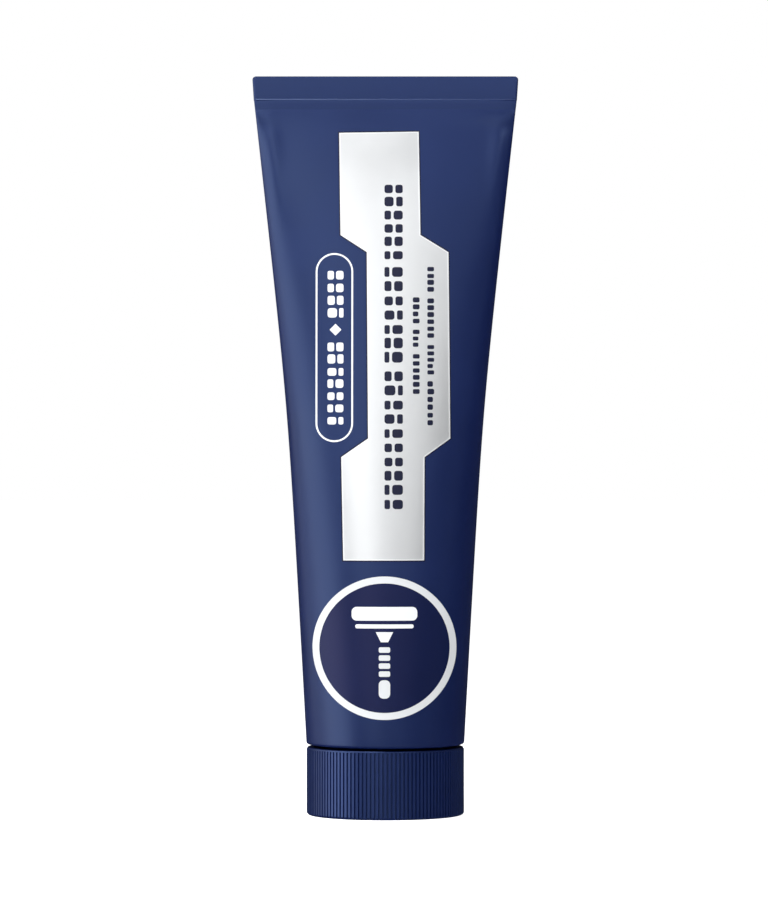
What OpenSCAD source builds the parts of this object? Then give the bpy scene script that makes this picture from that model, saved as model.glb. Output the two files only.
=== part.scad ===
// Shaving cream tube: a laminate squeeze tube that stands on its fluted screw cap.
// Millimetres. The origin is the centre of the cap's flat end, +Z runs up to the
// crimped fin, and the printed front faces -Y.

/* [Cap] */
// Outside diameter over the flutes
cap_d = 35; // [34:0.5:36]
// Height of the cap, with its plain rim
cap_h = 15.1; // [14.9:0.05:15.2]
// Number of flutes round the grip
flutes = 120; // [60:4:140]
// Depth of a flute
flute_depth = 0.35; // [0.2:0.05:0.45]
// Height of the plain rim above the flutes
rim_h = 0.4; // [0.4:0.1:1]
// Radius of the outer edge that the cap stands on
foot_r = 0.85; // [0.5:0.05:1]
// Thickness of the cap's end
floor_t = 1.4; // [1.2:0.1:1.4]
// Diameter of the shallow recess in the cap's end
recess_d = 26; // [20:1:30]
// Depth of that recess
recess_h = 0.4; // [0.2:0.1:0.5]
// Number of stiffening ribs between the collar and the grip wall
ribs = 8; // [4:1:12]

/* [Thread] */
// Rise of the thread in one turn
lead = 3.2; // [3:0.1:3.4]
// Diameter of the neck under its thread
neck_d = 13.2; // [13:0.1:13.4]
// Diameter over the neck's thread
thread_d = 15; // [14.8:0.1:15.2]
// Inside diameter of the cap's collar
collar_d = 15.6; // [15.5:0.1:15.8]
// Inside diameter over the collar's thread
collar_thread_d = 14.1; // [14:0.1:14.4]
// Turns of thread on the neck, and in the collar
thread_turns = 1.5; // [1:0.25:1.75]

/* [Head] */
// Diameter of the opening that the cream comes out of
orifice_d = 7; // [5:0.5:8]
// Inside diameter of the neck
bore_d = 10; // [9.6:0.1:10.2]
// Thickness of the shoulder
shoulder_t = 1.3; // [1:0.1:1.5]

/* [Sleeve] */
// Radius of the sleeve where it is round, at the shoulder
sleeve_r = 17.55; // [17.4:0.05:17.6]
// Height at which the sleeve starts
sleeve_z = 15.7; // [15.6:0.1:16]
// Thickness of the laminate
wall = 0.5; // [0.4:0.05:0.6]
// Radius of the sleeve's turned-in lower end
end_r = 0.6; // [0.6:0.1:1]
// Share of the widening that is one straight flare from end to end
flare_share = 0.65; // [0.4:0.05:1]
// Where the second, steeper flare starts, as a share of the height
bend_at = 0.52; // [0.3:0.02:0.7]
// Softness of that bend
bend_soft = 0.15; // [0.05:0.01:0.3]
// How square the flattened section gets at the fin; 0 is an ellipse
squareness = 0.45; // [0:0.05:0.8]

/* [Fin] */
// Width of the fin at its lower edge
fin_w = 58.56; // [54:0.01:60]
// Width of the fin at the top
fin_top_w = 59.26; // [54:0.01:62]
// Height of the fin
fin_h = 5.4; // [4:0.1:8]
// Thickness of the fin: the sleeve's two walls, crushed together
fin_t = 1.1; // [1:0.05:1.2]
// Radius of the fin's two top corners
fin_corner_r = 0.85; // [0.5:0.05:2]
// Height of the whole tube
total_h = 164.2; // [150:0.1:180]

/* [Contents] */
// Height of the top of the cream
fill_z = 138; // [80:1:145]

/* [Hidden] */
$fn = 96;

NAVY = [0.12, 0.19, 0.38];
OFF_WHITE = [0.9, 0.9, 0.88];
FOIL = [0.75, 0.76, 0.78];
CREAM = [0.96, 0.96, 0.95];

cap_r = cap_d / 2;
grip_r = cap_r - flute_depth;     // bottom of the flutes
flute_crest = 0.58;               // share of the pitch that the top of a ridge takes
flute_floor = 0.26;               // share that the bottom of a groove takes
cap_in_r = 16;                    // inside of the grip wall
wall_r = cap_in_r + 0.7;          // the wall behind the flutes
wall_lap = 0.2;                   // how far the flutes run into that wall
cut_gap = 0.05;                   // keeps a rounding cut off the face beside it
rim_r = cap_r - 0.15;
rim_edge_r = 0.2;
collar_out_r = 9.5;
collar_h = 12.7;
collar_chamfer = 0.4;
rib_t = 0.8;
rib_h = 4.6;
rib_lap = 0.4;                    // how far a rib runs into the walls it joins
gate_r = 0.8;
gate_h = 0.15;

liner_r = 7.6;
liner_t = 1;
foil_t = 0.12;
liner_gap = 0.18;                 // between the liner and the foil's pull tab
mouth_z = floor_t + liner_t + liner_gap + 2 * foil_t;

neck_r = neck_d / 2;
bore_r = bore_d / 2;
mouth_t = 1.2;                    // thickness of the web round the orifice
shoulder_z = 13.2;                // underside of the shoulder at the neck
shoulder_edge_z = 15.85;          // and at its rim
shoulder_root_r = 7.4;
shoulder_edge_r = 16.55;
shoulder_slope = (shoulder_edge_z - shoulder_z) / (shoulder_edge_r - shoulder_root_r);
neck_flare_h = 0.8;               // the taper from the neck into the shoulder
bore_flare_r = bore_r + 0.6;      // the bore's wider end, inside the shoulder
bore_flare_z = shoulder_z + 0.2;
skirt_r = 16.95;                  // the skirt that the sleeve is welded to
skirt_in_r = 16;
skirt_top_z = 18.2;
rondelle_t = 0.4;
rondelle_rise = 0.2;              // how much higher its own bore starts to widen
seal_r = neck_r - 0.1;
fit_gap = 0.03;                   // between pieces welded face to face

// Male and female ridges are half a lead apart, so neither touches the other.
thread_z = 4.6;
male_base = 1.9;
male_crest = 1;
female_base = 1.7;
female_crest = 0.9;
thread_steps = 36;                // facets in one turn
thread_bury = 0.12;               // how far a ridge starts inside its wall
run_out = 40;                     // degrees over which a ridge fades at each end
end_height = 0.1;                 // share of its height that is left at the very end

fin_z = total_h - fin_h;
fin_step = 0.1;                   // how far the fin's faces stand out from the belly
fin_bury = 0.5;                   // how far the belly runs up inside the fin
belly_h = fin_z - sleeve_z;
belly_top_w = fin_w - fin_step;
end_hole_r = sleeve_r - 0.75;      // leaves a narrow lip inside the turned-in end
flatten_start = 1.5;              // power: a higher one keeps the lower tube rounder
flatten_end = 0.85;               // power: a lower one makes the fin's approach blunter
section_steps = 48;
belly_rings = 22;
end_rings = 4;
cavity_top = 0.988;               // height share at which the inside closes

cream_gap = 0.12;                 // between the cream and the walls round it
cream_lap = 0.5;                  // how far the stretches of the cream run into each other

// ---- the sleeve's shape -------------------------------------------------

function share(z) = min(1, (z - sleeve_z) / belly_h);

// A soft bend: nearly 0 below bend_at and nearly a straight line above it
function bend(t) = sqrt(pow(t - bend_at, 2) + bend_soft * bend_soft) + t - bend_at;
function steep(t) = (bend(t) - bend(0)) / (bend(1) - bend(0));
function half_width(t) = sleeve_r
    + (belly_top_w / 2 - sleeve_r) * (flare_share * t + (1 - flare_share) * steep(t));

// The front-to-back half depth falls from the round end to the crushed fin.
function half_depth(t) = sleeve_r * pow(1 - pow(t, flatten_start), flatten_end)
    + (fin_t / 2 - fin_step) * t;

function section_power(t) = 2 / (2 + squareness * t);
function bulge(c, p) = sign(c) * pow(abs(c), p);

// One closed ring of the flattened tube at height z, moved inwards by inset
function ring(z, inset) = let (t = share(z), p = section_power(t),
                               a = half_width(t) - inset, b = half_depth(t) - inset)
    [for (i = [0:section_steps - 1]) let (u = i * 360 / section_steps)
        [a * bulge(cos(u), p), b * bulge(sin(u), p), z]];

// The rounding at a turned-in end: how much narrower the ring is at height h
function turn_in(h, r) = h >= r ? 0 : r - sqrt(r * r - pow(r - h, 2));

// Heights of the rings, closer together where the sleeve turns in at its end
function end_heights(z, r) = [for (k = [0:end_rings - 1]) z + r * (1 - cos(k * 90 / end_rings))];
function belly_heights(z0, z1) = [for (i = [0:belly_rings]) z0 + (z1 - z0) * i / belly_rings];

// A closed solid through rings that all have the same number of points
module loft(rings) {
    n = len(rings[0]);
    last = (len(rings) - 1) * n;
    polyhedron(
        points = [for (r = rings) for (p = r) p],
        faces = concat(
            [[for (i = [0:n - 1]) i]],
            [[for (i = [n - 1:-1:0]) last + i]],
            [for (k = [0:len(rings) - 2]) for (i = [0:n - 1])
                let (j = (i + 1) % n) [k * n + i, (k + 1) * n + i, (k + 1) * n + j]],
            [for (k = [0:len(rings) - 2]) for (i = [0:n - 1])
                let (j = (i + 1) % n) [k * n + i, (k + 1) * n + j, k * n + j]]));
}

module sleeve_outside() {
    low = end_heights(sleeve_z, end_r);
    high = belly_heights(sleeve_z + end_r, fin_z);
    loft([for (z = concat(low, high, fin_z + fin_bury)) ring(z, turn_in(z - sleeve_z, end_r))]);
}

module sleeve_inside() {
    turned_r = end_r - wall;
    low = end_heights(sleeve_z + wall, turned_r);
    high = belly_heights(sleeve_z + end_r, sleeve_z + belly_h * cavity_top);
    loft([for (z = concat(low, high)) ring(z, wall + turn_in(z - sleeve_z - wall, turned_r))]);
}

// ---- the threads --------------------------------------------------------

// A helical ridge. Its section runs from radius r0, where it is base wide, to
// radius r1, where it is crest wide, and it fades away at both ends.
module ridge(r0, r1, base, crest, z0) {
    sweep = 360 * thread_turns;
    steps = ceil(thread_steps * thread_turns);
    side = sign(r0 - r1);         // keeps the faces outwards on both kinds of ridge
    loft([for (k = [0:steps])
        let (u = sweep * k / steps,
             fade = min(1, end_height + min(u, sweep - u) / run_out),
             r = r0 + (r1 - r0) * fade,
             z = z0 + lead * u / 360,
             top = crest + (base - crest) * (1 - fade))
        [for (q = [[r0, -base / 2], [r, -top / 2], [r, top / 2], [r0, base / 2]])
            [q[0] * cos(u), q[0] * sin(u), z + side * q[1]]]]);
}

// ---- the pieces ---------------------------------------------------------

// Around the grip, each pitch has a ridge's two corners and then a groove's two corners.
function flute_outline() = [for (i = [0:flutes - 1])
    for (q = [[-flute_crest / 2, cap_r], [flute_crest / 2, cap_r],
              [(1 - flute_floor) / 2, grip_r], [(1 + flute_floor) / 2, grip_r]])
    let (u = (i + q[0]) * 360 / flutes) [q[1] * cos(u), q[1] * sin(u)]];

// The fluted grip, with the edge it stands on rounded
module cap_grip() {
    edge_in = cap_r - foot_r + cut_gap;
    difference() {
        linear_extrude(cap_h - rim_h) difference() {
            polygon(flute_outline());
            circle(wall_r - wall_lap);
        }
        rotate_extrude() difference() {
            translate([edge_in, -1]) square([foot_r + 1, foot_r + 1]);
            translate([edge_in, foot_r]) circle(foot_r);
        }
    }
}

// Half section of everything in the cap that is round
module cap_section() {
    translate([0, recess_h]) square([wall_r, floor_t - recess_h]);
    translate([recess_d / 2, 0]) square([wall_r - recess_d / 2, floor_t]);
    translate([0, recess_h - gate_h]) square([gate_r, floor_t / 2]);
    translate([cap_in_r, 0]) square([wall_r - cap_in_r, cap_h - rim_h / 2]);
    translate([cap_in_r, cap_h - rim_h]) {
        square([rim_r - cap_in_r, rim_h - rim_edge_r]);
        square([rim_r - rim_edge_r - cap_in_r, rim_h]);
        translate([rim_r - rim_edge_r - cap_in_r, rim_h - rim_edge_r]) circle(rim_edge_r);
    }
    polygon([[collar_d / 2, floor_t / 2], [collar_out_r, floor_t / 2],
             [collar_out_r, collar_h - collar_chamfer],
             [collar_out_r - collar_chamfer, collar_h],
             [collar_d / 2 + collar_chamfer, collar_h],
             [collar_d / 2, collar_h - collar_chamfer]]);
}

// A one-piece screw cap: fluted grip, flat end, threaded collar and ribs
module cap() {
    color(NAVY) union() {
        cap_grip();
        rotate_extrude() cap_section();
        for (i = [0:ribs - 1]) rotate(i * 360 / ribs)
            translate([collar_out_r - rib_lap, -rib_t / 2, floor_t / 2])
                cube([cap_in_r - collar_out_r + 2 * rib_lap, rib_t, floor_t / 2 + rib_h]);
        ridge(collar_d / 2 + thread_bury, collar_thread_d / 2, female_base, female_crest,
              thread_z + lead / 2);
    }
}

// The loose foam wad in the bottom of the collar
module cap_liner() {
    color(OFF_WHITE) translate([0, 0, floor_t]) cylinder(r = liner_r, h = liner_t);
}

// Half section of the shoulder and the neck
module head_section() {
    top_z = shoulder_edge_z + shoulder_t;
    lip_z = sleeve_z + wall + cut_gap * 2;
    polygon([
        [orifice_d / 2, mouth_z], [neck_r, mouth_z],
        [neck_r, shoulder_z - neck_flare_h], [shoulder_root_r, shoulder_z],
        [shoulder_edge_r, shoulder_edge_z],
        [shoulder_edge_r, lip_z], [skirt_r, sleeve_z + end_r],
        [skirt_r, skirt_top_z], [skirt_in_r, skirt_top_z], [skirt_in_r, top_z],
        [bore_flare_r, top_z - shoulder_slope * (skirt_in_r - bore_flare_r)],
        [bore_r, bore_flare_z],
        [bore_r, mouth_z + mouth_t], [orifice_d / 2, mouth_z + mouth_t]
    ]);
}

// The tube's head: shoulder and threaded neck in one moulding
module tube_head() {
    color(NAVY) union() {
        rotate_extrude() head_section();
        ridge(neck_r - thread_bury, thread_d / 2, male_base, male_crest, thread_z);
    }
}

// The thin barrier insert that lines the shoulder and the neck
module barrier_rondelle() {
    out_r = skirt_in_r - fit_gap;
    out_z = shoulder_edge_z + shoulder_t + fit_gap;
    top_z = out_z - shoulder_slope * (out_r - bore_flare_r);
    tube_r = bore_r - fit_gap;
    low_z = mouth_z + mouth_t + fit_gap;
    color(FOIL) rotate_extrude() polygon([
        [tube_r, low_z], [tube_r, bore_flare_z + fit_gap], [bore_flare_r, top_z + fit_gap],
        [out_r, out_z + fit_gap], [out_r, out_z + rondelle_t],
        [bore_flare_r - rondelle_t, top_z + rondelle_t],
        [tube_r - rondelle_t, bore_flare_z + rondelle_rise], [tube_r - rondelle_t, low_z]
    ]);
}

// The peel-off seal over the mouth, with its half-moon pull tab folded flat
module foil_seal() {
    color(FOIL) {
        translate([0, 0, mouth_z - foil_t]) cylinder(r = seal_r, h = foil_t);
        translate([0, 0, mouth_z - 2 * foil_t]) intersection() {
            cylinder(r = seal_r, h = foil_t);
            translate([0, -seal_r, 0]) cube([seal_r, 2 * seal_r, foil_t]);
        }
    }
}

// The contents: a plug in the neck and a mass that fills the sleeve to fill_z
module shaving_cream() {
    plug_r = bore_r - fit_gap - rondelle_t - cream_gap;
    plug_z = mouth_z + mouth_t + cream_gap;
    cone_r = skirt_in_r - 3 * cream_gap;
    cone_z = shoulder_edge_z + shoulder_t + rondelle_t + 2 * cream_gap;
    plug_top_z = cone_z - shoulder_slope * (cone_r - plug_r);
    belly_z = skirt_top_z + cream_gap;
    color(CREAM) union() {
        translate([0, 0, mouth_z + cut_gap])
            cylinder(r = orifice_d / 2 - cream_gap, h = mouth_t + cream_lap);
        rotate_extrude() polygon([
            [0, plug_z], [plug_r, plug_z], [plug_r, plug_top_z], [cone_r, cone_z],
            [cone_r, belly_z + cream_lap], [0, belly_z + cream_lap]
        ]);
        loft([for (z = belly_heights(belly_z, fill_z)) ring(z, wall + cream_gap)]);
    }
}

// The fin: a plate whose sides go on flaring, with two rounded top corners
module fin_plate() {
    r = fin_corner_r;
    low = fin_w / 2;
    half = fin_top_w / 2;
    rotate([90, 0, 0]) linear_extrude(fin_t, center = true) {
        polygon([[-low, fin_z], [low, fin_z],
                 [half, total_h - r], [half - r, total_h - r], [half - r, total_h],
                 [-half + r, total_h], [-half + r, total_h - r], [-half, total_h - r]]);
        for (s = [-1, 1]) translate([s * (half - r), total_h - r]) circle(r);
    }
}

// The squeeze sleeve: round at the shoulder, crushed and welded into a fin
module sleeve() {
    color(NAVY) union() {
        difference() {
            sleeve_outside();
            sleeve_inside();
            translate([0, 0, sleeve_z - end_r]) cylinder(r = end_hole_r, h = 3 * end_r);
        }
        fin_plate();
    }
}

cap();
cap_liner();
tube_head();
barrier_rondelle();
foil_seal();
shaving_cream();
sleeve();
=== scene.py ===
"""Shaving cream tube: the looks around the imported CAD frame. Metres, +Z up, front towards -Y."""
import math
import random

import bmesh
import bpy
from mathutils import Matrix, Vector


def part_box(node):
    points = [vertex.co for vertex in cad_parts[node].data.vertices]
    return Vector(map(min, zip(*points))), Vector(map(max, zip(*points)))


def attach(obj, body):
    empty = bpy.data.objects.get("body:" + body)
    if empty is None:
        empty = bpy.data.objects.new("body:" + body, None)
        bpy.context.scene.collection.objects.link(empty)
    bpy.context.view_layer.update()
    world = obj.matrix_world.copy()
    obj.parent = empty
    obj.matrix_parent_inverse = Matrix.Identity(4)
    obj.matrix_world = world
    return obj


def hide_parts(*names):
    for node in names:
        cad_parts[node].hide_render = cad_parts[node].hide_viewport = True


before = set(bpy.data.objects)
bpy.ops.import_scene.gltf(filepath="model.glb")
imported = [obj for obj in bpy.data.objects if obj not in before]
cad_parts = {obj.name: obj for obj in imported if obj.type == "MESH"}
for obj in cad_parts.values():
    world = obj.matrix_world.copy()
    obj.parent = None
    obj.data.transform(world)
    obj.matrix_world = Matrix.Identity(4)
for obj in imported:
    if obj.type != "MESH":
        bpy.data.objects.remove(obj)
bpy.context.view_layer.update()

MM = 0.001
SEED = 7

# ---------------------------------------------------------------- measures from the frame
SLEEVE_LOW, SLEEVE_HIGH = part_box("sleeve")
SLEEVE_Z = SLEEVE_LOW.z
TOP_Z = SLEEVE_HIGH.z
FIN_TOP_W = SLEEVE_HIGH.x - SLEEVE_LOW.x

# The sleeve's shape, as the CAD source has it
FIN_H = 5.4 * MM
FIN_W = 58.56 * MM
FIN_HALF_T = 0.55 * MM
FIN_STEP = 0.1 * MM
FIN_CORNER_R = 0.85 * MM
SLEEVE_R = 17.55 * MM
WALL = 0.5 * MM
END_R = 0.6 * MM
LIP_R = SLEEVE_R - 0.75 * MM
FLARE_SHARE = 0.65
BEND_AT = 0.52
BEND_SOFT = 0.15
SQUARENESS = 0.45
FLATTEN_START = 1.5
FLATTEN_END = 0.85
FIN_Z = TOP_Z - FIN_H
BELLY_H = FIN_Z - SLEEVE_Z
BELLY_TOP_W = FIN_W - FIN_STEP

# What the skin adds to that shape. At the fin's lower edge the weld makes a small step out and
# a short straight stretch, and the walls stay nearer together down to PRESS_LOW under it
WELD_STEP = 0.2 * MM
STEP_TOP = 0.42 * MM                 # above the fin's lower edge
STEP_H = 0.36 * MM
SHELF_HALF_T = 0.8 * MM
SHELF_TOP = 0.8 * MM                 # below the fin's lower edge
SHELF_LOW = 2.0 * MM
PRESS_LOW = 25 * MM
BLEND_H = 0.24 * MM                  # from the belly's outline to the fin's
# The outline grows squarer towards the fin
SQUARE_LOW = 6 * MM
SQUARE_POWER = 6
# A soft roll along each side
ROLL_TOP = 9 * MM                    # below the fin's lower edge
ROLL_LOW = 30 * MM
ROLL_AT = 0.91                       # share of the half width
ROLL_HALF = 0.08
ROLL_SWELL = 0.42
FIN_TAPER = 0.2 * MM                 # each face of the fin leans back towards the top
FIN_EDGE_R = 0.14 * MM


def clamp(value, low=0.0, high=1.0):
    return max(low, min(high, value))


def smooth(value):
    value = clamp(value)
    return value * value * (3 - 2 * value)


def share(z):
    return clamp((z - SLEEVE_Z) / BELLY_H)


def bend(t):
    return math.sqrt((t - BEND_AT) ** 2 + BEND_SOFT ** 2) + t - BEND_AT


def half_width(t):
    steep = (bend(t) - bend(0)) / (bend(1) - bend(0))
    return SLEEVE_R + (BELLY_TOP_W / 2 - SLEEVE_R) * (FLARE_SHARE * t + (1 - FLARE_SHARE) * steep)


def half_depth(t):
    return SLEEVE_R * (1 - t ** FLATTEN_START) ** FLATTEN_END + (FIN_HALF_T - FIN_STEP) * t


def pressed(z):
    """How much nearer together the walls lie than in the CAD source, below the fin's weld."""
    under = FIN_Z - z
    if under < SHELF_LOW:
        start = FIN_HALF_T + WELD_STEP
        shelf = start + (SHELF_HALF_T - start) * math.sin(math.pi / 2 * clamp(under / SHELF_TOP))
        return half_depth(share(z)) - shelf
    fade = clamp((under - SHELF_LOW) / (PRESS_LOW - SHELF_LOW))
    at_shelf = half_depth(share(FIN_Z - SHELF_LOW)) - SHELF_HALF_T
    return at_shelf * math.cos(math.pi / 2 * fade) ** 2


def squarer(z):
    """The outline fills out towards the fin, which is flat from side to side."""
    return SQUARE_POWER * smooth(1 - (FIN_Z - z) / SQUARE_LOW)


def superellipse(x, a, b, power):
    return b * max(0.0, 1 - abs(x / a) ** power) ** (1 / power)


def depth_at(x, z):
    """Distance from the tube's middle plane to its front or back surface."""
    t = share(z)
    power = 2 + SQUARENESS * t + squarer(z)
    return superellipse(x, half_width(t), half_depth(t) - pressed(z), power)


# ---------------------------------------------------------------- mesh helpers
def add_object(name, mesh, body, material):
    piece = bpy.data.objects.new(name, mesh)
    bpy.context.scene.collection.objects.link(piece)
    mesh.materials.append(material)
    for face in mesh.polygons:
        face.use_smooth = True
    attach(piece, body)
    return piece


def mesh_from(bm, name, sharp=35):
    """A mesh with its edges sharper than that many degrees kept sharp in shading."""
    bmesh.ops.recalc_face_normals(bm, faces=bm.faces[:])
    for edge in bm.edges:
        edge.smooth = edge.calc_face_angle(0.0) < math.radians(sharp)
    mesh = bpy.data.meshes.new(name)
    bm.to_mesh(mesh)
    bm.free()
    return mesh


def loft(rings, name):
    """A closed mesh through rings of equal length, with both ends capped."""
    bm = bmesh.new()
    rows = [[bm.verts.new(p) for p in ring] for ring in rings]
    n = len(rows[0])
    for low, high in zip(rows, rows[1:]):
        for i in range(n):
            j = (i + 1) % n
            bm.faces.new((low[i], low[j], high[j], high[i]))
    bm.faces.new(rows[0][::-1])
    bm.faces.new(rows[-1])
    return mesh_from(bm, name)


# ---------------------------------------------------------------- the squeeze sleeve
RING_STEPS = 256
CAVITY_SHARE = 0.988                 # of the belly's height
CAVITY_STEP = 3 * MM
CURL_STEPS = 6
CURL_DEGREES = 6
CORNER_STEPS = 12
# Heights of the outer rings, measured from the fin's lower edge, and their spacing
BELLY_TOP, BELLY_STEP = -3.1 * MM, 1.0 * MM
PINCH_LOW, PINCH_TOP, PINCH_STEP = -3.0 * MM, -0.6 * MM, 0.1 * MM
WELD_LOW, WELD_RING_STEP = -0.56 * MM, 0.04 * MM
FIN_LOW, FIN_RING_STEP = 0.8 * MM, 0.5 * MM


def outer_half_width(z):
    """Half width of the outside: the belly, then the fin with its round top corners."""
    if z <= FIN_Z:
        return half_width(share(z))
    flare = FIN_W / 2 + (FIN_TOP_W - FIN_W) / 2 * (z - FIN_Z) / FIN_H
    over = z - (TOP_Z - FIN_CORNER_R)
    if over <= 0:
        return flare
    return flare - FIN_CORNER_R + math.sqrt(max(0.0, FIN_CORNER_R ** 2 - over ** 2))


def fin_half_depth(x, a, z):
    """Half thickness of the crushed fin: flat, with folded round sides and a soft top edge."""
    half_t = FIN_HALF_T - FIN_TAPER * clamp((z - FIN_Z) / FIN_H) ** 2
    over = z - (TOP_Z - FIN_EDGE_R)
    if over > 0:
        half_t -= FIN_EDGE_R - math.sqrt(max(0.0, FIN_EDGE_R ** 2 - over ** 2))
    inside = abs(x) - (a - half_t)
    if inside <= 0:
        return half_t
    return math.sqrt(max(0.0, half_t ** 2 - inside ** 2))


def weld_step(z):
    """The soft step at the fin's lower edge, where the welding jaws end."""
    return WELD_STEP * smooth((FIN_Z + STEP_TOP - z) / STEP_H)


def side_roll(u, z):
    """The flattened belly keeps a soft roll along each side, which fades out down the tube."""
    under = FIN_Z - z
    if under <= 0 or under >= ROLL_LOW:
        return 0.0
    along = smooth(under / ROLL_TOP) * math.cos(math.pi / 2 * under / ROLL_LOW) ** 2
    return ROLL_SWELL * along * math.exp(-((u - ROLL_AT) / ROLL_HALF) ** 2)


def sleeve_ring(z, inset=0.0, outside=True):
    t = share(z)
    power = 2 + SQUARENESS * t + (squarer(z) if outside else 0.0)
    a = (outer_half_width(z) if outside else half_width(t)) - inset
    b = half_depth(t) - inset - (pressed(z) if outside else 0.0)
    rise = smooth((z - FIN_Z + BLEND_H / 2) / BLEND_H) if outside else 0.0
    ring = []
    for i in range(RING_STEPS):
        u = 2 * math.pi * i / RING_STEPS
        c, s = math.cos(u), math.sin(u)
        x = a * math.copysign(abs(c) ** (2 / power), c)
        y = superellipse(x, a, b, power)
        if outside:
            y *= 1 + side_roll(abs(x / a), z)
        if rise > 0:
            side_fade = smooth((a - abs(x)) / (2 * FIN_HALF_T))
            fin_y = fin_half_depth(x, a, z) + weld_step(z) * side_fade
            if rise < 1:
                y += (max(y, fin_y) - y) * rise
            else:
                y = fin_y
        ring.append((x, math.copysign(y, s) if abs(s) > 1e-9 else 0.0, z))
    return ring


def turn_in(h, r):
    return 0.0 if h >= r else r - math.sqrt(r * r - (r - h) ** 2)


def spaced(low, high, step):
    count = max(1, round((high - low) / step))
    return [low + (high - low) * i / count for i in range(count + 1)]


def make_sleeve(material):
    cavity_top = SLEEVE_Z + BELLY_H * CAVITY_SHARE
    turned_r = END_R - WALL
    inner = [cavity_top - d for d in spaced(0, cavity_top - SLEEVE_Z - END_R, CAVITY_STEP)]
    curl_in = [SLEEVE_Z + WALL + turned_r * (1 - math.sin(k * math.pi / 2 / CURL_STEPS))
               for k in range(1, CURL_STEPS + 1)]
    rings = [sleeve_ring(z, WALL, False) for z in inner]
    rings += [sleeve_ring(z, WALL + turn_in(z - SLEEVE_Z - WALL, turned_r), False) for z in curl_in]
    for z in (SLEEVE_Z + WALL, SLEEVE_Z):
        rings.append([(LIP_R * math.cos(2 * math.pi * i / RING_STEPS),
                       LIP_R * math.sin(2 * math.pi * i / RING_STEPS), z) for i in range(RING_STEPS)])
    curl_out = [SLEEVE_Z + END_R * (1 - math.cos(math.radians(a)))
                for a in range(0, 90, CURL_DEGREES)]
    rings += [sleeve_ring(z, turn_in(z - SLEEVE_Z, END_R)) for z in curl_out]
    belly = spaced(SLEEVE_Z + END_R, FIN_Z + BELLY_TOP, BELLY_STEP)
    pinch = spaced(FIN_Z + PINCH_LOW, FIN_Z + PINCH_TOP, PINCH_STEP)
    weld = spaced(FIN_Z + WELD_LOW, FIN_Z + STEP_TOP + WELD_RING_STEP, WELD_RING_STEP)
    fin = spaced(FIN_Z + FIN_LOW, TOP_Z - FIN_CORNER_R, FIN_RING_STEP)
    corner = [TOP_Z - FIN_CORNER_R * (1 - math.sin(k * math.pi / 2 / CORNER_STEPS))
              for k in range(1, CORNER_STEPS + 1)]
    rings += [sleeve_ring(z) for z in belly + pinch + weld + fin + corner]
    mesh = loft(rings, "sleeve_skin")
    sleeve = add_object("sleeve_skin", mesh, "tube", material)
    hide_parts("sleeve")
    return sleeve


# ---------------------------------------------------------------- printed decorations
PRINT_T = 0.03 * MM
PRINT_SINK = 0.02 * MM               # added under a print, so that its lower face is hidden
BEND_STEP = 1.5 * MM                 # between the points of a line that bends with the sleeve
# How far a print's outer face stands off the sleeve: what lies on a field stands higher
SEAM_LIFT = 0.02 * MM
FIELD_LIFT = 0.03 * MM
LINE_LIFT = 0.04 * MM
TOP_LIFT = 0.05 * MM


def on_surface(x, z, lift, side):
    return Vector((x, side * (depth_at(x, z) + lift), z))


def lay_on_sleeve(bm, name, lift, side, material):
    """Bends flat faces in the XZ plane onto the sleeve and gives them a thin closed body."""
    flat = bm.faces[:]
    grown = bmesh.ops.extrude_face_region(bm, geom=flat, use_keep_orig=True)
    raised = {v for v in grown["geom"] if isinstance(v, bmesh.types.BMVert)}
    for v in bm.verts:
        height = lift if v in raised else lift - PRINT_T - PRINT_SINK
        v.co = on_surface(v.co.x, v.co.z, height, side)
    return add_object(name, mesh_from(bm, name), "tube", material)


def cut_into_cells(bm, cell_x=1.0 * MM, cell_z=3.0 * MM):
    for axis, cell in ((0, cell_x), (2, cell_z)):
        values = [v.co[axis] for v in bm.verts]
        low, high = min(values), max(values)
        for k in range(math.floor(low / cell) + 1, math.ceil(high / cell)):
            point, normal = Vector((0, 0, 0)), Vector((0, 0, 0))
            point[axis], normal[axis] = k * cell, 1.0
            bmesh.ops.bisect_plane(bm, geom=bm.verts[:] + bm.edges[:] + bm.faces[:],
                                   plane_co=point, plane_no=normal, dist=1e-7)


def print_shapes(name, outlines, material, lift=LINE_LIFT, side=-1):
    """Filled shapes given as (x, z) outlines, printed on the front (side -1) or the back."""
    bm = bmesh.new()
    for outline in outlines:
        bm.faces.new([bm.verts.new((x, 0, z)) for x, z in outline])
    cut_into_cells(bm)
    return lay_on_sleeve(bm, name, lift, side, material)


def print_stroke(name, path, width, material, lift=LINE_LIFT, side=-1):
    """A line of constant width along a closed (x, z) path."""
    bm = bmesh.new()
    n = len(path)
    pairs = []
    for i, (x, z) in enumerate(path):
        (x0, z0), (x1, z1) = path[i - 1], path[(i + 1) % n]
        before = Vector((x - x0, z - z0)).normalized()
        after = Vector((x1 - x, z1 - z)).normalized()
        normal = Vector((-(before.y + after.y), before.x + after.x)).normalized()
        reach = width / 2 / max(0.3, normal.dot(Vector((-after.y, after.x))))
        pairs.append([bm.verts.new((x + k * reach * normal.x, 0, z + k * reach * normal.y))
                      for k in (-1, 1)])
    for i in range(n):
        (a, b), (c, d) = pairs[i], pairs[(i + 1) % n]
        bm.faces.new((a, b, d, c))
    if width > 1 * MM:
        cut_into_cells(bm, 0.4 * MM)
    return lay_on_sleeve(bm, name, lift, side, material)


def arc(cx, cz, r, start, stop, steps):
    return [(cx + r * math.cos(math.radians(start + (stop - start) * i / steps)),
             cz + r * math.sin(math.radians(start + (stop - start) * i / steps)))
            for i in range(steps + 1)]


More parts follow.
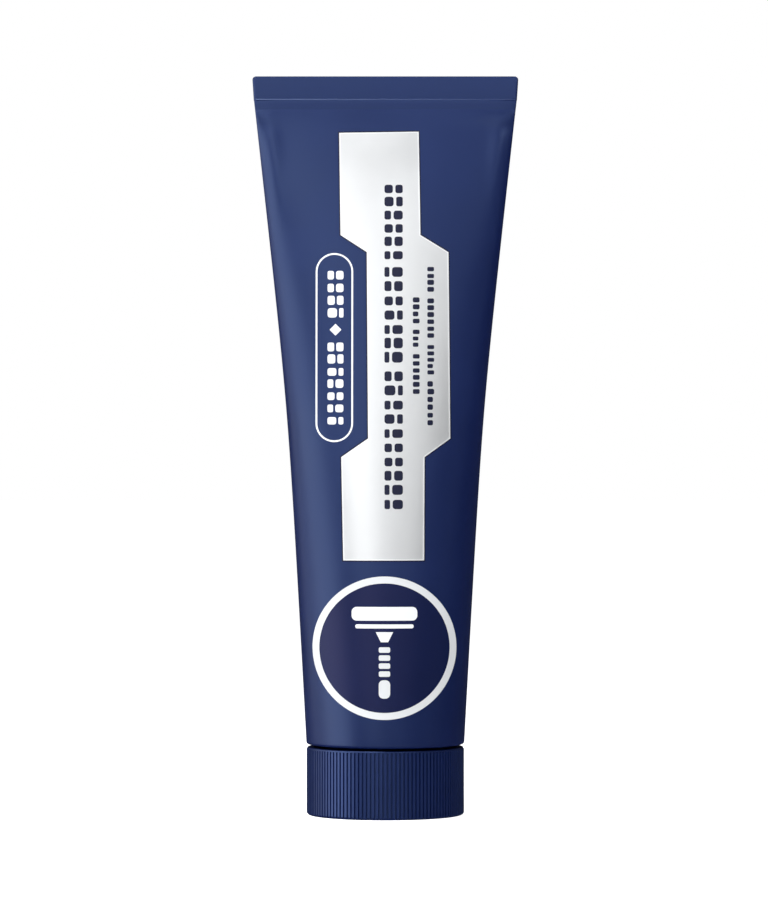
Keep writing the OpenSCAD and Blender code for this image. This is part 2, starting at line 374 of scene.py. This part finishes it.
def oval(cx, cz, rx, rz, steps):
    return [(cx + rx * math.cos(2 * math.pi * i / steps), cz + rz * math.sin(2 * math.pi * i / steps))
            for i in range(steps)]


def rounded_box(x0, z0, x1, z1, r, steps=4):
    return (arc(x1 - r, z1 - r, r, 0, 90, steps) + arc(x0 + r, z1 - r, r, 90, 180, steps)
            + arc(x0 + r, z0 + r, r, 180, 270, steps) + arc(x1 - r, z0 + r, r, 270, 360, steps))


def refine(path, step):
    """Extra points along a closed path, so that a long straight side bends with the sleeve."""
    fine = []
    for i, (x, z) in enumerate(path):
        x1, z1 = path[(i + 1) % len(path)]
        count = max(1, math.ceil(math.hypot(x1 - x, z1 - z) / step))
        fine += [(x + (x1 - x) * k / count, z + (z1 - z) * k / count) for k in range(count)]
    return fine


# ---------------------------------------------------------------- materials
def principled(name, color, roughness, metallic=0.0, specular=0.5):
    material = bpy.data.materials.new(name)
    material.use_nodes = True
    shader = material.node_tree.nodes["Principled BSDF"]
    shader.inputs["Base Color"].default_value = (*color, 1)
    shader.inputs["Roughness"].default_value = roughness
    shader.inputs["Metallic"].default_value = metallic
    shader.inputs["Specular IOR Level"].default_value = specular
    return material, material.node_tree, shader


def vary(tree, shader, color, color_swing, roughness, rough_swing, scale, bump, bump_scale):
    """Seeded object-space noise: a little colour and roughness variation, and a fine bump."""
    nodes, links = tree.nodes, tree.links
    coords = nodes.new("ShaderNodeTexCoord")
    broad = nodes.new("ShaderNodeTexNoise")
    broad.inputs["Scale"].default_value = scale
    broad.inputs["Detail"].default_value = 4
    links.new(coords.outputs["Object"], broad.inputs["Vector"])
    ramp = nodes.new("ShaderNodeValToRGB")
    for element, share_of in zip(ramp.color_ramp.elements, (1 - color_swing, 1 + color_swing)):
        element.color = (*[clamp(c * share_of) for c in color], 1)
    ramp.color_ramp.elements[0].position = 0.3
    ramp.color_ramp.elements[1].position = 0.7
    links.new(broad.outputs["Fac"], ramp.inputs["Fac"])
    links.new(ramp.outputs["Color"], shader.inputs["Base Color"])
    spread = nodes.new("ShaderNodeMapRange")
    spread.inputs["From Min"].default_value = 0.3
    spread.inputs["From Max"].default_value = 0.7
    spread.inputs["To Min"].default_value = roughness - rough_swing
    spread.inputs["To Max"].default_value = roughness + rough_swing
    links.new(broad.outputs["Fac"], spread.inputs["Value"])
    links.new(spread.outputs["Result"], shader.inputs["Roughness"])
    fine = nodes.new("ShaderNodeTexNoise")
    fine.inputs["Scale"].default_value = bump_scale
    fine.inputs["Detail"].default_value = 2
    links.new(coords.outputs["Object"], fine.inputs["Vector"])
    relief = nodes.new("ShaderNodeBump")
    relief.inputs["Strength"].default_value = 1.0
    relief.inputs["Distance"].default_value = bump
    links.new(fine.outputs["Fac"], relief.inputs["Height"])
    links.new(relief.outputs["Normal"], shader.inputs["Normal"])


NAVY = (0.002, 0.0075, 0.062)
CAP_NAVY = (0.003, 0.009, 0.059)


def navy_plastic(name, color, roughness, specular, tint, grain, ior=1.5):
    """Blue film or blue plastic, whose shine is bluish too."""
    material, tree, shader = principled(name, color, roughness, specular=specular)
    shader.inputs["IOR"].default_value = ior
    shader.inputs["Specular Tint"].default_value = (*tint, 1)
    vary(tree, shader, color, 0.08, roughness, 0.03, 60, 0.004 * MM, grain)
    return material


def print_material(name, color, roughness, metallic=0.0, specular=0.5):
    material, tree, shader = principled(name, color, roughness, metallic, specular)
    vary(tree, shader, color, 0.02, roughness, 0.03, 90, 0.003 * MM, 1800)
    return material


def foil_material(name, roughness):
    color = (0.78, 0.79, 0.81)
    material, tree, shader = principled(name, color, roughness, metallic=1.0)
    vary(tree, shader, color, 0.03, roughness, 0.05, 300, 0.01 * MM, 700)
    return material


def liner_material():
    color = (0.86, 0.86, 0.83)
    material, tree, shader = principled("foam_wad", color, 0.8, specular=0.3)
    vary(tree, shader, color, 0.04, 0.8, 0.05, 400, 0.03 * MM, 2600)
    return material


def cream_material():
    color = (0.93, 0.93, 0.91)
    material, tree, shader = principled("white_cream", color, 0.5)
    shader.inputs["Subsurface Weight"].default_value = 0.3
    shader.inputs["Subsurface Radius"].default_value = (0.003, 0.003, 0.003)
    vary(tree, shader, color, 0.02, 0.5, 0.06, 200, 0.05 * MM, 300)
    return material


# ---------------------------------------------------------------- the print
RNG = random.Random(SEED)


def in_mm(points):
    return [(x * MM, z * MM) for x, z in points]


def grown(path, by):
    """The same closed outline, moved outwards by that much at every corner."""
    moved = []
    for i, (x, z) in enumerate(path):
        (x0, z0), (x1, z1) = path[i - 1], path[(i + 1) % len(path)]
        before = Vector((x - x0, z - z0)).normalized()
        after = Vector((x1 - x, z1 - z)).normalized()
        normal = Vector((before.y + after.y, -before.x - after.x)).normalized()
        reach = by / normal.dot(Vector((after.y, -after.x)))
        moved.append((x + reach * normal.x, z + reach * normal.y))
    return moved


def tile(x0, z0, x1, z1):
    r = 0.28 * min(x1 - x0, z1 - z0)
    return in_mm(rounded_box(x0, z0, x1, z1, r, 3))


def upright_word(x0, x1, z0, z1, count, tiers):
    """Small tiles in the rhythm of a line of print that runs up the tube, with no letters."""
    pitch = (z1 - z0) / (count - 0.3)
    tiles = []
    for i in range(count):
        low = z0 + i * pitch
        high = low + RNG.uniform(0.6, 0.76) * pitch
        if tiers == 1:
            tiles.append(tile(x0, low, x1 - RNG.choice((0, 0, 0.18)) * (x1 - x0), high))
            continue
        split = x0 + RNG.uniform(0.32, 0.68) * (x1 - x0)
        gap = 0.07 * (x1 - x0)
        tiles += [tile(x0, low, split - gap, high), tile(split + gap, low, x1, high)]
    return tiles


def level_line(x0, x1, z, height):
    """Short bars in the rhythm of words, for a line of small print across the tube."""
    bars = []
    x = x0
    while x < x1 - 2 * height:
        length = min(RNG.uniform(1.6, 5.2), x1 - x)
        bars.append(tile(x, z, x + length, z + height))
        x += length + 0.75
    return bars


# The panel: an upright band whose middle third is set over to the right
PANEL = [(-9.25, 56.85), (8.5, 56.85), (8.6, 79.5), (14.3, 83.6), (13.95, 124.8), (7.75, 128.6),
         (7.4, 151.75), (-10.25, 151.5), (-9.9, 128.6), (-4.1, 124.8), (-3.8, 83.6), (-9.7, 79.5)]
BORDER_W = 0.26 * MM                 # bright line inside the panel's edge
SHADE_W = 0.28 * MM                  # dark line round it
BADGE = (-0.2, 37.7)
BADGE_RING_R = (15.1, 14.9)          # half width and half height, as it is on the curved tube
BADGE_RING_W = 1.52
PILL = (-15.2, 83.0, -7.3, 124.4)
TITLE_X = (-0.2, 3.85)
TITLE_WORDS = ((68.1, 98.4, 10), (100.3, 121.5, 7), (123.2, 140.0, 6))
NOTE_LINES = (((6.05, 7.55), ((93.4, 102.3, 6), (103.8, 107.6, 3), (109.0, 114.7, 4))),
              ((9.25, 10.75), ((86.5, 96.2, 6), (97.7, 104.3, 5), (105.8, 114.5, 6),
                               (116.0, 121.6, 4))))
PILL_WORDS = ((86.7, 104.7, 7), (110.3, 120.7, 4))


# The back: two columns of small print, the rules over and under them, four rings and a box
BACK_COLUMNS = ((-14.5, -2.2), (2.2, 14.5))
BACK_LINES_Z = range(74, 134, 3)
BACK_LINE_H = 0.85
BACK_RULES = ((-14.5, 138.2, 14.5, 138.6), (-14.5, 70.2, 14.5, 70.6))
BACK_RINGS_X = (-10.5, -3.5, 3.5, 10.5)
BACK_RINGS_Z = 61.0
BACK_RING_R = 2.4
BACK_BOX = (-12.0, 34.0, 12.0, 52.0)
BARS_X = (-10.0, 9.6)
BARS_Z = (37.0, 50.5)


def make_panel(silver, white, shade):
    outline = in_mm(PANEL)
    print_shapes("front_panel", [outline], silver, FIELD_LIFT)
    border = refine(grown(outline, -BORDER_W / 2), BEND_STEP)
    print_stroke("panel_border", border, BORDER_W, white, TOP_LIFT)
    rim = refine(grown(outline, SHADE_W / 2), BEND_STEP)
    print_stroke("panel_shade", rim, SHADE_W, shade, FIELD_LIFT)


def make_panel_print(navy):
    title = [t for z0, z1, count in TITLE_WORDS for t in upright_word(*TITLE_X, z0, z1, count, 2)]
    print_shapes("title_tiles", title, navy, TOP_LIFT)
    notes = [t for xs, words in NOTE_LINES for z0, z1, count in words
             for t in upright_word(*xs, z0, z1, count, 1)]
    print_shapes("note_tiles", notes, navy, TOP_LIFT)


def make_pill(white):
    outline = in_mm(rounded_box(*PILL, (PILL[2] - PILL[0]) / 2 - 0.005, 16))
    print_stroke("pill_outline", refine(outline, BEND_STEP), 0.38 * MM, white)
    middle = (PILL[0] + PILL[2]) / 2 + 0.25
    words = [t for z0, z1, count in PILL_WORDS
             for t in upright_word(middle - 1.75, middle + 1.75, z0, z1, count, 2)]
    spark = [(middle - 1.3, 107.6), (middle, 106.3), (middle + 1.3, 107.6), (middle, 108.9)]
    print_shapes("pill_tiles", words + [in_mm(spark)], white)


def make_badge(silver, white, field_ink):
    """A plain ring round a darker field, with the outline of a safety razor in it."""
    x, z = BADGE
    rx, rz = BADGE_RING_R
    ring = in_mm(oval(x, z, rx, rz, 180))
    print_stroke("badge_ring", ring, BADGE_RING_W * MM, silver, TOP_LIFT)
    field = in_mm(oval(x, z, rx - BADGE_RING_W * 0.4, rz - BADGE_RING_W * 0.4, 120))
    print_shapes("badge_field", [field], field_ink, FIELD_LIFT)
    head = [in_mm(rounded_box(x - 7.2, z + 6.0, x + 7.2, z + 9.0, 1.1, 6)),
            in_mm(rounded_box(x - 6.4, z + 4.3, x + 6.4, z + 5.2, 0.4, 4))]
    neck = in_mm([(x - 1.9, z + 3.5), (x - 0.8, z + 1.3), (x + 0.8, z + 1.3), (x + 1.9, z + 3.5)])
    print_shapes("badge_razor_head", head + [neck], white, TOP_LIFT)
    grip = [in_mm(rounded_box(x - 1.25, z - 1.0 - 1.75 * k, x + 1.25, z + 0.2 - 1.75 * k, 0.35, 4))
            for k in range(4)]
    grip.append(in_mm(rounded_box(x - 1.25, z - 11.0, x + 1.25, z - 7.0, 1.0, 6)))
    print_shapes("badge_razor_handle", grip, silver, TOP_LIFT)


def make_back(white, navy):
    """Small print in two columns between two rules, four rings and a barred box."""
    lines = [bar for z in BACK_LINES_Z for x0, x1 in BACK_COLUMNS
             for bar in level_line(x0, x1, z, BACK_LINE_H)]
    print_shapes("back_lines", lines, white, side=1)
    rules = [tile(*rule) for rule in BACK_RULES]
    print_shapes("back_rules", rules, white, side=1)
    box = in_mm(rounded_box(*BACK_BOX, 0.8, 6))
    print_shapes("back_box", [box], white, FIELD_LIFT, side=1)
    bars = []
    x, last = BARS_X
    low, high = BARS_Z
    while x < last:
        width = RNG.choice((0.3, 0.3, 0.6, 0.9))
        bars.append(in_mm([(x, low), (x + width, low), (x + width, high), (x, high)]))
        x += width + RNG.choice((0.35, 0.35, 0.7))
    print_shapes("back_bars", bars, navy, TOP_LIFT, side=1)
    rings = [in_mm(oval(x, BACK_RINGS_Z, BACK_RING_R, BACK_RING_R, 36)) for x in BACK_RINGS_X]
    for k, ring in enumerate(rings):
        print_stroke(f"back_mark_{k + 1}", ring, 0.4 * MM, white, side=1)


def make_seam(material):
    """The laminate's overlapped seam, down the middle of the back."""
    low, high = SLEEVE_Z / MM + 1.2, FIN_Z / MM - 0.4
    strip = in_mm([(-0.8, low), (0.8, low), (0.8, high), (-0.8, high)])
    print_shapes("lap_seam", [strip], material, SEAM_LIFT, side=1)


# ---------------------------------------------------------------- studio
FLOOR_SEEN = 1.0                     # keeps the floor as white as the backdrop
FLOOR_LIGHT = 0.80                   # what the tube gets from it
AMBIENT = 0.04
STUDIO_CENTRE = Vector((0, 0, 0.09))
# Softboxes round the tube: azimuth from the camera's side towards +X, elevation, distance,
# width, height, power
SOFTBOXES = {
    "left_wall": (-72, 0, 0.6, 0.50, 0.50, 1.72),
    "left_back": (-112, 5, 0.6, 0.30, 0.50, 0.36),
    "left_front_high": (-60, 22, 0.6, 0.20, 0.12, 0.22),
    "front_high": (-34, 50, 0.6, 0.20, 0.30, 1.02),
    "front_top": (-30, 60, 0.6, 0.30, 0.20, 0.35),
    "top": (-60, 72, 0.6, 0.30, 0.20, 1.7),
    "front_left": (-16, 12, 0.6, 0.25, 0.40, 0.50),
    "front_mid": (-35, 15, 0.6, 0.20, 0.40, 0.11),
    "front_right": (16, 8, 0.6, 0.25, 0.30, 0.16),
    "front_middle_high": (0, 22, 0.6, 0.20, 0.12, 0.10),
    "right_front": (35, 15, 0.6, 0.20, 0.40, 0.07),
    "right_wall": (65, 10, 0.6, 0.25, 0.50, 0.08),
    "right_high": (50, 45, 0.2, 0.06, 0.06, 0.05),
}


def make_floor():
    mesh = bpy.data.meshes.new("floor")
    size = 6.0
    mesh.from_pydata([(-size, -size, 0), (size, -size, 0), (size, size, 0), (-size, size, 0)], [],
                     [(0, 1, 2, 3)])
    floor = bpy.data.objects.new("floor", mesh)
    bpy.context.scene.collection.objects.link(floor)
    material, tree, shader = principled("pale_floor", (0.9, 0.9, 0.9), 0.9, specular=0.1)
    shader.inputs["Emission Color"].default_value = (1, 1, 1, 1)
    path = tree.nodes.new("ShaderNodeLightPath")
    glow = tree.nodes.new("ShaderNodeMapRange")
    glow.inputs["To Min"].default_value = FLOOR_LIGHT
    glow.inputs["To Max"].default_value = FLOOR_SEEN
    tree.links.new(path.outputs["Is Camera Ray"], glow.inputs["Value"])
    tree.links.new(glow.outputs["Result"], shader.inputs["Emission Strength"])
    mesh.materials.append(material)
    floor.visible_glossy = False


def softbox(name, azimuth, elevation, distance, width, height, power):
    light = bpy.data.lights.new(name, "AREA")
    light.shape = "RECTANGLE"
    light.size = width
    light.size_y = height
    light.energy = power
    lamp = bpy.data.objects.new(name, light)
    bpy.context.scene.collection.objects.link(lamp)
    turn, rise = math.radians(azimuth), math.radians(elevation)
    out = Vector((math.sin(turn) * math.cos(rise), -math.cos(turn) * math.cos(rise), math.sin(rise)))
    lamp.location = STUDIO_CENTRE + distance * out
    lamp.rotation_euler = (-out).to_track_quat("-Z", "Y").to_euler()


def make_world():
    world = bpy.data.worlds.new("studio")
    bpy.context.scene.world = world
    world.use_nodes = True
    nodes, links = world.node_tree.nodes, world.node_tree.links
    seen = nodes["Background"]
    seen.inputs["Color"].default_value = (1, 1, 1, 1)
    seen.inputs["Strength"].default_value = 1.0
    ambient = nodes.new("ShaderNodeBackground")
    ambient.inputs["Color"].default_value = (1, 1, 1, 1)
    ambient.inputs["Strength"].default_value = AMBIENT
    path = nodes.new("ShaderNodeLightPath")
    mix = nodes.new("ShaderNodeMixShader")
    links.new(path.outputs["Is Camera Ray"], mix.inputs["Fac"])
    links.new(ambient.outputs["Background"], mix.inputs[1])
    links.new(seen.outputs["Background"], mix.inputs[2])
    links.new(mix.outputs["Shader"], nodes["World Output"].inputs["Surface"])


# The camera: focal length and sensor width in millimetres, and its place in metres
LENS = 180.35
SENSOR_W = 36
CAMERA_AT = (-0.3 * MM, -1.0, 81.4 * MM)


def make_camera():
    camera = bpy.data.cameras.new("camera")
    camera.lens = LENS
    camera.sensor_width = SENSOR_W
    camera.clip_start = 0.01
    eye = bpy.data.objects.new("camera", camera)
    bpy.context.scene.collection.objects.link(eye)
    eye.location = CAMERA_AT
    eye.rotation_euler = (math.radians(90), 0, 0)
    bpy.context.scene.camera = eye


def make_studio():
    make_world()
    make_floor()
    for name, setting in SOFTBOXES.items():
        softbox(name, *setting)
    bpy.context.scene.view_settings.view_transform = "Standard"


# ---------------------------------------------------------------- build
def finish_cad_nodes():
    looks = {
        "cap": navy_plastic("navy_polypropylene", CAP_NAVY, 0.38, 1.0, (0.32, 0.48, 1.0), 2500, 1.62),
        "cap_liner": liner_material(),
        "tube_head": navy_plastic("navy_polyethylene", CAP_NAVY, 0.45, 0.5, (0.4, 0.6, 1.0), 1500),
        "barrier_rondelle": foil_material("barrier_foil", 0.35),
        "foil_seal": foil_material("seal_foil", 0.25),
        "shaving_cream": cream_material(),
    }
    for node, material in looks.items():
        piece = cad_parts[node]
        for holder in piece.material_slots:
            holder.material = material


make_camera()
make_studio()
finish_cad_nodes()
laminate = navy_plastic("navy_laminate", NAVY, 0.40, 0.88, (0.44, 0.615, 1.0), 1600)
field_ink = navy_plastic("field_ink", (0.001, 0.007, 0.047), 0.40, 0.4, (0.72, 0.65, 1.0), 1600)
navy_ink = print_material("navy_ink", (0.004, 0.006, 0.03), 0.38, specular=0.35)
silver_ink = print_material("silver_ink", (0.82, 0.835, 0.85), 0.38, 0.75)
line_ink = print_material("bright_line_ink", (0.93, 0.94, 0.95), 0.38, 0.5)
ring_ink = print_material("pearl_ink", (0.66, 0.68, 0.70), 0.38)
white_ink = print_material("white_ink", (0.85, 0.87, 0.90), 0.38, 0.1)
make_sleeve(laminate)
make_seam(laminate)
make_panel(silver_ink, line_ink, navy_ink)
make_panel_print(navy_ink)
make_pill(white_ink)
make_badge(ring_ink, white_ink, field_ink)
make_back(white_ink, navy_ink)
